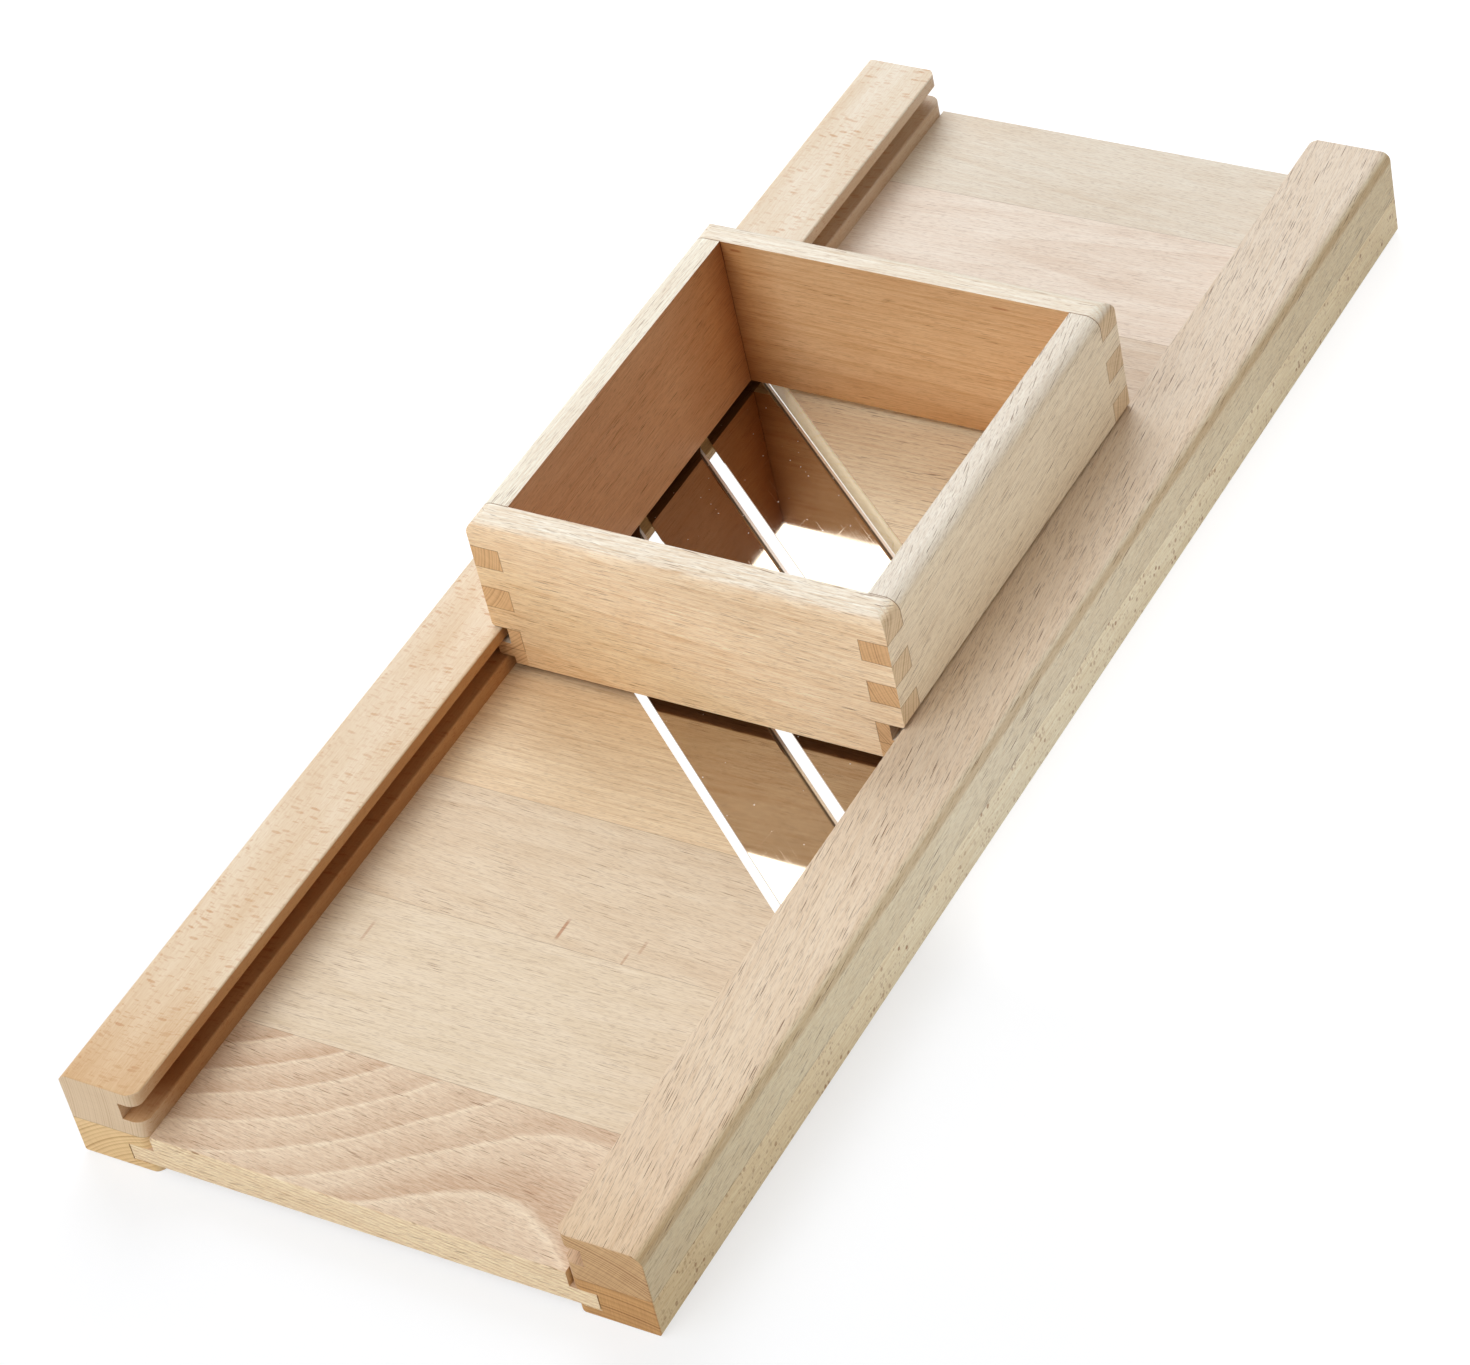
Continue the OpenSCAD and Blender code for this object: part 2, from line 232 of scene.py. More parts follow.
beechPattern = {  # what all the beech has in common; sizes in millimetres
    "ringsInStep": 2.6,  # rings for each change of their width
    "lateWood": (0.25, 0.93), "ringEdge": (0.16, 0.03),  # parts of a ring
    "faintest": 0.35,  # weakest ring or dash beside the strongest
    "rowWidth": 1.5, "dashEdge": (0.45, 0.25), "longFrom": (3.7, 1.9, 5.1), "shortFrom": (11.3, 7.1, 2.3),
    "shortSize": (0.5, 0.8, 0.6), "shortShare": 1.5, "shortAmount": 0.65,  # beside the long dashes
    "patchSize": (26.0, 9.0, 9.0), "patchLimits": (0.3, 0.62), "patchLeast": 0.45,
    "poreSize": (2.6, 0.3, 0.3), "poreLimits": (0.54, 0.74),
    "fibreSize": (16.0, 0.45, 0.6), "mottleSize": (70.0, 14.0, 14.0), "spokeSize": (30.0, 0.55, 9.0),
    "endSharp": 1.5, "endSpokes": 0.5, "endMottle": 0.4,
    "rough": 0.5, "lateRough": 0.05, "fibreRough": 0.12, "dashRough": -0.08, "endRough": 0.12,
    "fibreHeight": 0.7, "dashHeight": -0.5, "lateHeight": -0.25,
}


# beech: rings, rays that show as dashes or flecks by the way they are cut, pores, fibres and end grain
def makeBeechGrain(shape):
    tree, given, out = newGroup(
        "beechGrain",
        [("Depth", "Float", 0.0), ("Ray", "Vector", None), ("End", "Float", 0.0),
         ("Ring Width", "Float", 2.0), ("Ring Contrast", "Float", 0.4), ("Ring Line", "Float", 0.0),
         ("Uneven", "Float", 1.2), ("Dash Size", "Vector", (4.0, 0.45, 3.0)), ("Dash Share", "Float", 0.14),
         ("Dash Amount", "Float", 0.6), ("Stagger", "Float", 40.0), ("Pores", "Float", 0.3),
         ("Fibre", "Float", 0.5), ("Mottle", "Float", 0.5), ("Pale", "Color", None),
         ("Deep", "Color", None), ("Dash Tone", "Color", None), ("End Pale", "Color", None),
         ("End Deep", "Color", None)],
        [("Color", "Color"), ("Roughness", "Float"), ("Height", "Float")])
    depth, width, ray, end = given["Depth"], given["Ring Width"], given["Ray"], given["End"]

    # a random number as a strength
    def varied(value):
        return calc(tree, "MULTIPLY_ADD", value, 1 - shape["faintest"], shape["faintest"])

    shift = noiseAlong(tree, calc(tree, "DIVIDE", depth, times(tree, width, shape["ringsInStep"])))
    shift = times(tree, centred(tree, shift), given["Uneven"])
    turns = calc(tree, "ADD", calc(tree, "DIVIDE", depth, width), shift)
    part = calc(tree, "FRACT", turns)
    which = addNode(tree, "ShaderNodeTexWhiteNoise", noise_dimensions="1D")
    feed(tree, which.inputs["W"], calc(tree, "FLOOR", turns))
    start, peak = shape["lateWood"]
    late = times(tree, ramp(tree, part, start, peak), ramp(tree, part, 1.0, peak), varied(which.outputs[0]))
    fade, peak = shape["ringEdge"]
    line = times(tree, ramp(tree, part, fade, peak), ramp(tree, part, 0.0, peak))

    # rays: size along the grain, along the rings and towards the pith, each row shifted along the grain
    x, arc, radius = splitXyz(tree, ray)
    stagger = centred(tree, noiseAlong(tree, calc(tree, "DIVIDE", arc, shape["rowWidth"])))
    staggered = joinXyz(tree, calc(tree, "MULTIPLY_ADD", stagger, given["Stagger"], x), arc, radius)

    def dashes(size, share, offset):
        distance, pick = cells(tree, sized(tree, vectorCalc(tree, "ADD", staggered, offset), size))
        chosen = calc(tree, "LESS_THAN", pick[0], share)
        return times(tree, ramp(tree, distance, *shape["dashEdge"]), chosen, varied(pick[1]))

    long = dashes(given["Dash Size"], given["Dash Share"], shape["longFrom"])
    smaller = vectorCalc(tree, "MULTIPLY", given["Dash Size"], shape["shortSize"])
    short = dashes(smaller, times(tree, given["Dash Share"], shape["shortShare"]), shape["shortFrom"])
    patch = noise(tree, sized(tree, ray, shape["patchSize"]))
    patch = ramp(tree, patch, *shape["patchLimits"], shape["patchLeast"], 1.0)
    dash = times(tree, calc(tree, "MAXIMUM", long, times(tree, short, shape["shortAmount"])), patch)

    pore = ramp(tree, noise(tree, sized(tree, ray, shape["poreSize"]), 0.0), *shape["poreLimits"])
    fibre = centred(tree, noise(tree, sized(tree, ray, shape["fibreSize"]), 2.0))
    mottle = centred(tree, noise(tree, sized(tree, ray, shape["mottleSize"])))

    amount = summed(tree, times(tree, late, given["Ring Contrast"]),
                    (mottle, given["Mottle"]), (fibre, given["Fibre"]))
    amount = calc(tree, "SUBTRACT", amount, times(tree, line, given["Ring Line"]))
    wood = blendColour(tree, amount, given["Pale"], given["Deep"], clamped=False)
    shade = summed(tree, times(tree, dash, given["Dash Amount"]), (pore, given["Pores"]))
    wood = blendColour(tree, shade, wood, given["Dash Tone"])

    # end grain: sharp late wood and faint spokes towards the pith
    spoke = centred(tree, noise(tree, sized(tree, ray, shape["spokeSize"])))
    sawn = summed(tree, calc(tree, "POWER", late, shape["endSharp"]),
                  (spoke, shape["endSpokes"]), (mottle, shape["endMottle"]))
    across = blendColour(tree, sawn, given["End Pale"], given["End Deep"], clamped=False)
    feed(tree, out["Color"], blendColour(tree, end, wood, across))

    feed(tree, out["Roughness"], summed(
        tree, shape["rough"], (late, shape["lateRough"]), (fibre, shape["fibreRough"]),
        (dash, shape["dashRough"]), (end, shape["endRough"])))
    feed(tree, out["Height"], summed(
        tree, times(tree, fibre, shape["fibreHeight"]),
        (dash, shape["dashHeight"]), (late, shape["lateHeight"])))
    return tree


# thin line where a value passes a place; it is full over a part of its half width
def makeSeamLine():
    tree, given, out = newGroup(
        "seamLine",
        [("Value", "Float", 0.0), ("Place", "Float", 0.0), ("Half", "Float", 0.15), ("Full", "Float", 0.4)],
        [("Mask", "Float")])
    off = calc(tree, "ABSOLUTE", calc(tree, "SUBTRACT", given["Value"], given["Place"]))
    feed(tree, out["Mask"], ramp(tree, off, given["Half"], times(tree, given["Half"], given["Full"])))
    return tree


seamLine = makeSeamLine()


def lineAt(tree, value, place, half):
    return useGroup(tree, seamLine, {"Value": value, "Place": place, "Half": half})["Mask"]


fingerJoint = {  # millimetres; steps counts the fingers up to the long seam at the top
    "rise": 51.4, "height": 9.95, "steps": 4.0, "lineHalf": 0.26,
    "fingerShare": 0.6, "fade": 0.2,  # strength round the fingers, and the steps above them until it is full
}


# glue lines round the fingers at the four corners of the box
def makeFingerLines(sizes):
    tree, given, out = newGroup("fingerLines", [("Vector", "Vector", None)], [("Mask", "Float")])
    x, y, z = splitXyz(tree, given["Vector"])
    half, steps = sizes["lineHalf"], sizes["steps"]
    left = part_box("carriage_left_side")[1][0] * perMetre
    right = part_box("carriage_right_side")[0][0] * perMetre
    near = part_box("carriage_front")[1][1] * perMetre
    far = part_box("carriage_back")[0][1] * perMetre
    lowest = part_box("carriage_front")[1][2] * perMetre - sizes["rise"]
    wallIn, reach = (right - left) / 2, (far - near) / 2
    side = calc(tree, "ABSOLUTE", calc(tree, "SUBTRACT", x, (left + right) / 2))
    end = calc(tree, "ABSOLUTE", calc(tree, "SUBTRACT", y, (near + far) / 2))
    inSide = calc(tree, "GREATER_THAN", side, wallIn - half)
    inEnd = calc(tree, "GREATER_THAN", end, reach - half)
    step = calc(tree, "DIVIDE", calc(tree, "SUBTRACT", z, lowest), sizes["height"])
    capped = calc(tree, "MINIMUM", step, steps)
    edge = times(tree, calc(tree, "SUBTRACT", step, calc(tree, "ROUND", capped)), sizes["height"])
    odd = calc(tree, "ABSOLUTE", calc(tree, "MODULO", calc(tree, "FLOOR", capped), 2.0))
    level = times(tree, lineAt(tree, edge, 0.0, half), inSide, inEnd)
    onPanel = times(tree, lineAt(tree, side, wallIn, half), odd, inEnd)
    onSide = times(tree, lineAt(tree, end, reach, half), opposite(tree, odd), inSide)
    onTop = ramp(tree, step, steps, steps + sizes["fade"], sizes["fingerShare"], 1.0)
    mask = calc(tree, "MAXIMUM", level, calc(tree, "MAXIMUM", onPanel, onSide))
    feed(tree, out["Mask"], times(tree, mask, onTop))
    return tree


logRings = makeLogRings()
sweepRings = makeSweepRings()
beechGrain = makeBeechGrain(beechPattern)
fingerLines = makeFingerLines(fingerJoint)
print("wood patterns ready")


# object coordinates in millimetres, from a place in metres and a turn
def millimetres(tree, coords, place=(0, 0, 0), turn=(0, 0, 0)):
    node = addNode(tree, "ShaderNodeMapping", vector_type="TEXTURE")
    feedAll(tree, node, {"Vector": coords.outputs["Object"], "Location": place, "Rotation": turn,
                         "Scale": (1 / perMetre,) * 3})
    return node.outputs[0]


# coordinates of a piece in millimetres, seen from the pith of the log that it was sawn from
def logMapping(tree, coords, piece, look):
    low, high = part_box(piece)
    middle = (Vector(low) + Vector(high)) / 2
    along = Vector(look["grain"]).normalized()
    pith = Vector(look["pith"]) / perMetre
    outward = middle - pith
    outward = (outward - along * outward.dot(along)).normalized()
    turned = Matrix((along, outward, along.cross(outward))).transposed()
    return millimetres(tree, coords, pith, turned.to_euler("XYZ")), along


def clearedTree(owner):
    owner.use_nodes = True
    owner.node_tree.nodes.clear()
    return owner.node_tree


def newMaterial(name):
    material = bpy.data.materials.new(name)
    tree = clearedTree(material)
    out = addNode(tree, "ShaderNodeOutputMaterial")
    shader = addNode(tree, "ShaderNodeBsdfPrincipled")
    tree.links.new(shader.outputs[0], out.inputs["Surface"])
    return material, tree, shader


def addBump(tree, shader, height, strength, distance):
    bump = addNode(tree, "ShaderNodeBump")
    feedAll(tree, bump, {"Strength": strength, "Distance": distance, "Height": height})
    feed(tree, shader.inputs["Normal"], bump.outputs[0])


def dressPiece(piece, material):
    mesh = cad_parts[piece].data
    mesh.materials.clear()
    mesh.materials.append(material)


# how far the surface faces a direction, from 0 to 1
def facing(tree, coords, direction, low=0.3, high=0.8, bothWays=False):
    turn = vectorCalc(tree, "DOT_PRODUCT", coords.outputs["Normal"], direction)
    return ramp(tree, calc(tree, "ABSOLUTE", turn) if bothWays else turn, low, high)


# multiplies a colour by another where the mask is 1
def tinted(tree, mask, colour, shares):
    return blendColour(tree, mask, colour, blendColour(tree, 1.0, colour, shares, "MULTIPLY"))


# shares that change from stop to stop along a value in millimetres
def drifting(tree, value, stops):
    places, triples = zip(*stops)
    shares = opaque(triples[0])
    for start, stop, last in zip(places, places[1:], triples[1:]):
        shares = blendColour(tree, ramp(tree, value, start, stop, soft=False), shares, opaque(last))
    return shares


# painted shade in the runner slot of a rail's inner face and on that face above and below it
def slotShadeMask(tree, xyz, end, low, high, sizes):
    inner = min(abs(low[0]), abs(high[0])) + sizes["depth"]
    inside = ramp(tree, calc(tree, "ABSOLUTE", xyz[0]), *(inner + v for v in sizes["backSoft"]))
    under = ramp(tree, xyz[2], *(high[2] - v for v in sizes["topSoft"]))
    fade = ramp(tree, xyz[1], *(high[1] * v for v in sizes["farFrom"]), 1.0, sizes["farShare"])
    mouth = ramp(tree, xyz[1], low[1], low[1] + sizes["mouth"], sizes["nearShare"], 1.0)
    return times(tree, inside, under, opposite(tree, end), times(tree, fade, mouth))


beechBase = {  # what every piece of wood starts from; sizes in millimetres
    "ringWidth": 2.1, "ringContrast": 0.4, "ringLine": 0.0, "uneven": 1.2, "wander": 1.2, "reach": 140.0,
    "dashSize": (9.0, 0.36, 5.0), "dashShare": 0.16, "dashAmount": 0.85, "stagger": 40.0, "pores": 0.2,
    "fibre": 1.7, "mottle": 0.6, "specular": 0.3, "bump": 0.25, "bumpDistance": 0.2,
    "pale": (230, 209, 181), "deep": (208, 176, 138), "dashTone": (140, 98, 62),
    "endPale": (226, 190, 142), "endDeep": (184, 136, 88), "endLimits": (0.55, 0.92),
    "sweep": False, "sweepLimits": (0.4, 0.7), "frontRings": 0.6,  # swept above, plain on the near edge
    "seams": (), "seamHalf": 0.14, "seamDepth": 0.55, "seamShares": (0.3, 0.18, 0.1), "fingers": False,
    "scars": (), "scarAxis": "y",  # x, place on that axis, length, half width and strength
    "scarShares": (0.62, 0.35, 0.23),
    "tints": (),  # facing direction, shares, and limits where they aren't the usual ones
    "drifts": (),  # way along which it changes, facing direction, and the shares at each place
    "slot": None,
}


def beechMaterial(piece, ownLook):
    look = dict(beechBase, **ownLook)
    material, tree, shader = newMaterial("beech_" + piece)
    coords = addNode(tree, "ShaderNodeTexCoord")
    place = millimetres(tree, coords)
    xyz = splitXyz(tree, place)
    low, high = ([v * perMetre for v in corner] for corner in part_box(piece))
    log, along = logMapping(tree, coords, piece, look)
    rings = useGroup(tree, logRings, {"Log": log, "Wander": look["wander"], "Reach": look["reach"]})
    depth = rings["Depth"]
    if look["sweep"]:
        swept = useGroup(tree, sweepRings, {"Vector": place})["Depth"]
        front = facing(tree, coords, toNear, *look["sweepLimits"])
        depth = calc(tree, "ADD", times(tree, swept, opposite(tree, front)),
                     times(tree, depth, times(tree, front, look["frontRings"])))
    end = facing(tree, coords, along, *look["endLimits"], bothWays=True)
    grain = useGroup(tree, beechGrain, {
        "Depth": depth, "Ray": rings["Ray"], "End": end,
        "Ring Width": look["ringWidth"], "Ring Contrast": look["ringContrast"],
        "Ring Line": look["ringLine"], "Uneven": look["uneven"],
        "Dash Size": look["dashSize"], "Dash Share": look["dashShare"], "Dash Amount": look["dashAmount"],
        "Stagger": look["stagger"],
        "Pores": look["pores"], "Fibre": look["fibre"], "Mottle": look["mottle"],
        "Pale": tone(*look["pale"]), "Deep": tone(*look["deep"]), "Dash Tone": tone(*look["dashTone"]),
        "End Pale": tone(*look["endPale"]), "End Deep": tone(*look["endDeep"])})
    colour = grain["Color"]
    for direction, shares, *limits in look["tints"]:
        colour = tinted(tree, facing(tree, coords, direction, *limits), colour, opaque(shares))
    for way, direction, stops in look["drifts"]:
        shares = drifting(tree, vectorCalc(tree, "DOT_PRODUCT", place, way), stops)
        colour = tinted(tree, facing(tree, coords, direction), colour, shares)
    # painted shade in the runner slot and on the inner face round it
    if look["slot"]:
        mask = slotShadeMask(tree, xyz, end, low, high, look["slot"])
        colour = tinted(tree, mask, colour, opaque(look["slot"]["shares"]))
    dark = useGroup(tree, fingerLines, {"Vector": place})["Mask"] if look["fingers"] else None
    for axis, side in look["seams"]:
        number = "xyz".index(axis)
        line = lineAt(tree, xyz[number], {"low": low, "high": high}[side][number], look["seamHalf"])
        dark = line if dark is None else calc(tree, "MAXIMUM", dark, line)
    if dark is not None:
        colour = tinted(tree, times(tree, dark, look["seamDepth"]), colour, opaque(look["seamShares"]))
    second = xyz["xyz".index(look["scarAxis"])]
    for x, other, length, half, strength in look["scars"]:
        mark = times(tree, lineAt(tree, xyz[0], x, half), lineAt(tree, second, other, length / 2), strength)
        colour = tinted(tree, mark, colour, opaque(look["scarShares"]))
    feed(tree, shader.inputs["Base Color"], colour)
    feed(tree, shader.inputs["Roughness"], grain["Roughness"])
    shader.inputs["Specular IOR Level"].default_value = look["specular"]
    addBump(tree, shader, grain["Height"], look["bump"], look["bumpDistance"] / perMetre)
    dressPiece(piece, material)


runnerSlotShade = {  # painted shade in the runner slot, fainter towards the far end and at the near mouth; millimetres, and parts of the half length for farFrom
    "shares": (0.64, 0.41, 0.23), "depth": 9.0, "backSoft": (0.6, 0.1), "topSoft": (0.3, 1.0),
    "mouth": 24.0, "nearShare": 0.35, "farFrom": (0.35, 0.6), "farShare": 0.3,
}

# pith gives a point on the heart of the log, grain its direction, both in the frame of the cutter
railLooks = {
    "left_rail": {
        "grain": (0.01, 1, 0), "pith": (-215, 0, 40), "ringWidth": 1.1, "ringContrast": 0.22, "wander": 0.6,
        "dashSize": (1.9, 0.75, 9.0), "dashShare": 0.4, "dashAmount": 0.65, "dashTone": (198, 144, 90),
        "stagger": 6.0, "fibre": 0.9, "mottle": 1.8, "pale": (230, 211, 184), "deep": (213, 181, 140),
        "endPale": (219, 195, 164), "endDeep": (196, 168, 133),
        "seams": (("z", "low"),), "slot": runnerSlotShade,
        # painted light: the top darker and warmer at the near end and paler towards the far end; the inner
        # face in painted shade at the near end
        "drifts": (
            (toFar, toTop, ((-300, (0.87, 0.7, 0.51)), (-245, (1.0, 0.96, 0.91)),
                            (300, (1.05, 1.11, 1.2)))),
            (toFar, toRight, ((-300, (0.99, 0.95, 0.89)), (300, (1.05, 1.11, 1.2)))))},
    "right_rail": {
        "grain": (-0.11, 1, 0), "pith": (30, 0, -68), "ringWidth": 1.4, "ringContrast": 0.2, "wander": 0.8,
        "dashSize": (11.0, 0.4, 6.0), "dashShare": 0.24, "dashAmount": 0.95, "dashTone": (114, 74, 44),
        "pale": (231, 212, 188), "deep": (214, 186, 154),
        "endPale": (201, 164, 119), "endDeep": (152, 110, 68),
        "seams": (("z", "low"),), "slot": runnerSlotShade,
        # painted light: the outer side tinted for how it is lit, and painted shade on the lower part of the
        # round-over between top and side
        "tints": ((toRight, (0.95, 1.05, 1.08)), ((0.9, 0, 0.44), (0.86, 0.78, 0.7), 0.9, 0.99)),
        # painted light: top and outer side darker at the near end and changing in tone along the rail
        "drifts": (
            (toFar, toTop, ((-300, (0.93, 0.84, 0.72)), (-262, (0.985, 0.935, 0.875)),
                            (-215, (1.0, 0.975, 0.93)), (300, (1.04, 1.08, 1.14)))),
            (toFar, toRight, ((-300, (0.83, 0.76, 0.64)), (-200, (0.946, 0.92, 0.852)),
                              (-40, (0.936, 0.92, 0.917)), (300, (0.967, 0.887, 0.744)))))},
    "left_base_strip": {
        "grain": (0, 1, 0.01), "pith": (-60, 0, -60), "ringWidth": 1.7, "ringContrast": 0.5, "wander": 0.8,
        "pale": (228, 200, 156), "deep": (204, 164, 112),
        "endPale": (228, 196, 146), "endDeep": (182, 140, 86), "seams": (("z", "high"),)},
    "right_base_strip": {
        "grain": (0.01, 1, 0), "pith": (95, 0, -118), "ringWidth": 2.0, "ringContrast": 0.4, "wander": 0.8,
        "dashSize": (2.4, 1.0, 2.6), "dashShare": 0.26, "dashAmount": 0.85, "dashTone": (158, 112, 68),
        "stagger": 0.0, "pale": (237, 222, 191), "deep": (216, 190, 149),
        "endPale": (198, 152, 97), "endDeep": (132, 84, 40), "seams": (("z", "high"),),
        # painted light: the outer side darker at the near end and paler towards the far end
        "drifts": (
            (toFar, toRight, ((-300, (0.78, 0.72, 0.6)), (-225, (0.9, 0.875, 0.82)),
                              (-40, (0.98, 1.05, 1.17)), (300, (1.07, 1.07, 1.03)))),)},
}
for piece, look in railLooks.items():
    beechMaterial(piece, look)
print("rails dressed")


nearSeam, farSeam = ("y", "low"), ("y", "high")
sawnWay = (-0.616, -0.788, 0)
sawnFaceLight = {  # painted light on the slanting saw cut behind the far blade: paler, as if lit from below, brighter low down and darker along its upper edge
    "tints": ((sawnWay, (1.5, 1.75, 2.1)),),
    "drifts": ((toTop, sawnWay, ((15.5, (1.3, 1.25, 1.15)), (17.4, (1.0, 0.93, 0.83)),
                                 (19, (0.62, 0.52, 0.42)))),),
}
staveLooks = {
    "near_stave_1": {
        "grain": (1, -0.16, -0.1), "pith": (0, -330, -60), "sweep": True, "ringWidth": 1.0, "uneven": 0.3,
        "ringContrast": 0.8, "ringLine": 0.38, "dashSize": (8.0, 0.38, 5.0), "dashShare": 0.22,
        "pale": (226, 202, 174), "deep": (197, 159, 126), "seams": (farSeam,),
        # painted light: the near face made paler
        "tints": ((toNear, (1.16, 1.22, 1.14)),)},
    "near_stave_2": {
        "grain": (1, 0.02, 0.01), "pith": (0, -204, -78), "ringContrast": 0.28, "dashAmount": 0.75,
        "dashShare": 0.18, "pale": (232, 214, 187), "deep": (214, 190, 155), "seams": (nearSeam, farSeam),
        "scars": ((-64, -189, 13, 0.8, 0.4),)},
    "near_stave_3": {
        "grain": (1, -0.04, 0.02), "pith": (0, -150, -92), "ringContrast": 0.3,
        "pale": (229, 209, 181), "deep": (210, 181, 146), "seams": (nearSeam, farSeam),
        "scars": ((3.4, -164.5, 13, 0.9, 0.8), (35.5, -163, 9, 0.9, 0.35), (32, -171, 12, 0.7, 0.45))},
    "near_stave_4": {
        "grain": (1, 0.01, 0.01), "pith": (0, -10, -62), "ringContrast": 0.45, "dashAmount": 0.45,
        "wander": 2.0, "pale": (237, 213, 178), "deep": (213, 178, 135), "seams": (nearSeam, farSeam),
        # painted shade and warm reflected light on the top near the box front
        "drifts": ((toFar, toTop, ((-90, (1.0, 1.0, 1.0)), (-55, (0.98, 0.92, 0.84)))),)},
    "near_stave_5": {
        "grain": (1, -0.02, 0), "pith": (0, -60, -80), "pale": (226, 197, 160), "deep": (204, 166, 124),
        "seams": (nearSeam,)},
    # far_stave_1 and far_stave_2: pale and deep colours raised as painted light against the shade inside the
    # box
    "far_stave_1": {
        "grain": (1, 0.02, 0), "pith": (0, 40, -80), "pale": (242, 224, 191), "deep": (222, 192, 153),
        "seams": (farSeam,), **sawnFaceLight},
    "far_stave_2": {
        "grain": (1, 0.02, -0.01), "pith": (0, 20, -50), "ringContrast": 0.5,
        "pale": (242, 224, 191), "deep": (222, 192, 153), "seams": (nearSeam, farSeam), **sawnFaceLight},
    # pale and deep colours lowered as painted shadow of the box
    "far_stave_3": {
        "grain": (1, -0.01, 0.01), "pith": (0, 160, -84), "pale": (230, 214, 194), "deep": (212, 185, 157),
        "seams": (nearSeam, farSeam), **sawnFaceLight},
    "far_stave_4": {
        "grain": (1, 0.03, 0.01), "pith": (0, 226, -96), "dashAmount": 0.5,
        "pale": (244, 230, 214), "deep": (226, 202, 180), "seams": (nearSeam, farSeam)},
    "far_stave_5": {
        "grain": (1, -0.05, 0.02), "pith": (0, 290, -110), "ringContrast": 0.22, "dashAmount": 0.3,
        "mottle": 0.9, "pale": (235, 224, 206), "deep": (219, 198, 172), "seams": (nearSeam,)},
}
for piece, look in staveLooks.items():
    beechMaterial(piece, look)
print("board dressed")


paintedTopSheen = (toTop, (1.19, 1.49, 2.05))  # painted sheen: faces that look up are made paler
paintedFootShade = (toFloor, (0.42, 0.3, 0.26))  # painted shade: faces that look down are made darker
panelEnds = {"endPale": (214, 190, 158), "endDeep": (168, 136, 104)}
boxLooks = {
    "carriage_front": {
        "grain": (1, 0.024, -0.03), "pith": (0, 35, 19), "ringWidth": 1.9, "ringContrast": 0.4,
        "wander": 1.0, "reach": 170.0, "fibre": 2.4, "pale": (247, 222, 185), "deep": (223, 184, 136),
        "dashTone": (136, 90, 52), **panelEnds,
        # painted light: the top paler as sheen, and the inner face and the underside darker as shade
        "tints": ((toTop, (1.0, 1.14, 1.4), 0.55, 0.98), (toFar, (1.0, 0.88, 0.8)), paintedFootShade),
        # painted light on the front face: darker towards the lower left, paler towards the right, where
        # light is thrown up from the blades
        "drifts": (
            ((1, 0, 2), toNear, ((-10, (0.9, 0.81, 0.7)), (60, (0.98, 0.95, 0.9)), (90, (1.04, 1.03, 1.05)),
                                 (130, (1.08, 1.1, 1.17)), (180, (1.01, 1.03, 1.1)))),)},
    "carriage_back": {
        "grain": (1, 0.015, 0), "pith": (-20, 190, 20), "ringWidth": 2.1, "ringContrast": 0.5,
        "wander": 1.6, "pale": (228, 198, 158), "deep": (204, 162, 114), "dashTone": (160, 114, 72),
        **panelEnds,
        "scarAxis": "z", "scars": ((-69.8, 88.0, 1.6, 3.2, 0.7), (43.8, 86.0, 1.4, 5.0, 0.6)),
        # painted light: the top paler as sheen and the inner face darker as shade
        "tints": (paintedTopSheen, (toNear, (1.0, 0.9, 0.8))),
        # painted shade in the inner corner by the left side and low down on the inner face
        "drifts": (
            (toRight, toNear, ((-77, (0.5, 0.32, 0.18)), (-68, (0.8, 0.68, 0.54)),
                               (-52, (1.02, 1.03, 1.03)))),
            (toTop, toNear, ((22, (0.82, 0.7, 0.57)), (40, (1.01, 1.01, 1.01)))))},
    "carriage_left_side": {
        "grain": (0.01, 1, 0.02), "pith": (-123, 0, 85), "ringWidth": 1.35, "ringContrast": 0.3,
        "pale": (228, 200, 160), "deep": (206, 166, 122),
        "endPale": (224, 184, 136), "endDeep": (182, 134, 90),
        # painted light: the top paler as sheen, the inner face and the underside darker as shade
        "tints": (paintedTopSheen, (toRight, (1.03, 0.88, 0.87)), paintedFootShade),
        # painted shade deepening on the inner face towards the corner by the back panel
        "drifts": (
            (toFar, toRight, ((70, (1.03, 1.03, 1.05)), (104, (0.82, 0.69, 0.54)),
                              (118, (0.55, 0.36, 0.2)))),)},
    "carriage_right_side": {
        "grain": (-0.01, 1, 0.12), "pith": (138, 0, 88), "ringWidth": 1.35, "ringContrast": 0.25,
        "dashSize": (10.0, 0.38, 5.0), "dashShare": 0.22, "dashAmount": 0.95, "dashTone": (114, 76, 46),
        "pale": (230, 215, 191), "deep": (208, 185, 157),
        "endPale": (222, 182, 136), "endDeep": (178, 134, 94),
        # painted light: the top paler as sheen and the inner face darker as shade
        "tints": ((toTop, (1.1, 1.17, 1.3)), (toLeft, (1.0, 0.82, 0.74)))},
}
for piece, look in boxLooks.items():
    beechMaterial(piece, dict(look, fingers=True, seamDepth=0.95))
print("box dressed")


steelPattern = {  # millimetres; dust lies in cells, its reach is a part of one
    "lineSize": (45.0, 0.3, 0.3), "lineLimits": (0.66, 0.76),
    "crossTurn": 1.05, "crossSize": (30.0, 0.35, 0.35), "crossLimits": (0.7, 0.8),
    "hazeSize": (30.0, 12.0, 12.0), "hazeLimits": (0.4, 0.75),
    "dustCell": (3.2, 2.6, 2.6), "dustReach": 0.15, "dustFull": 0.5, "dustShare": 0.55,
}


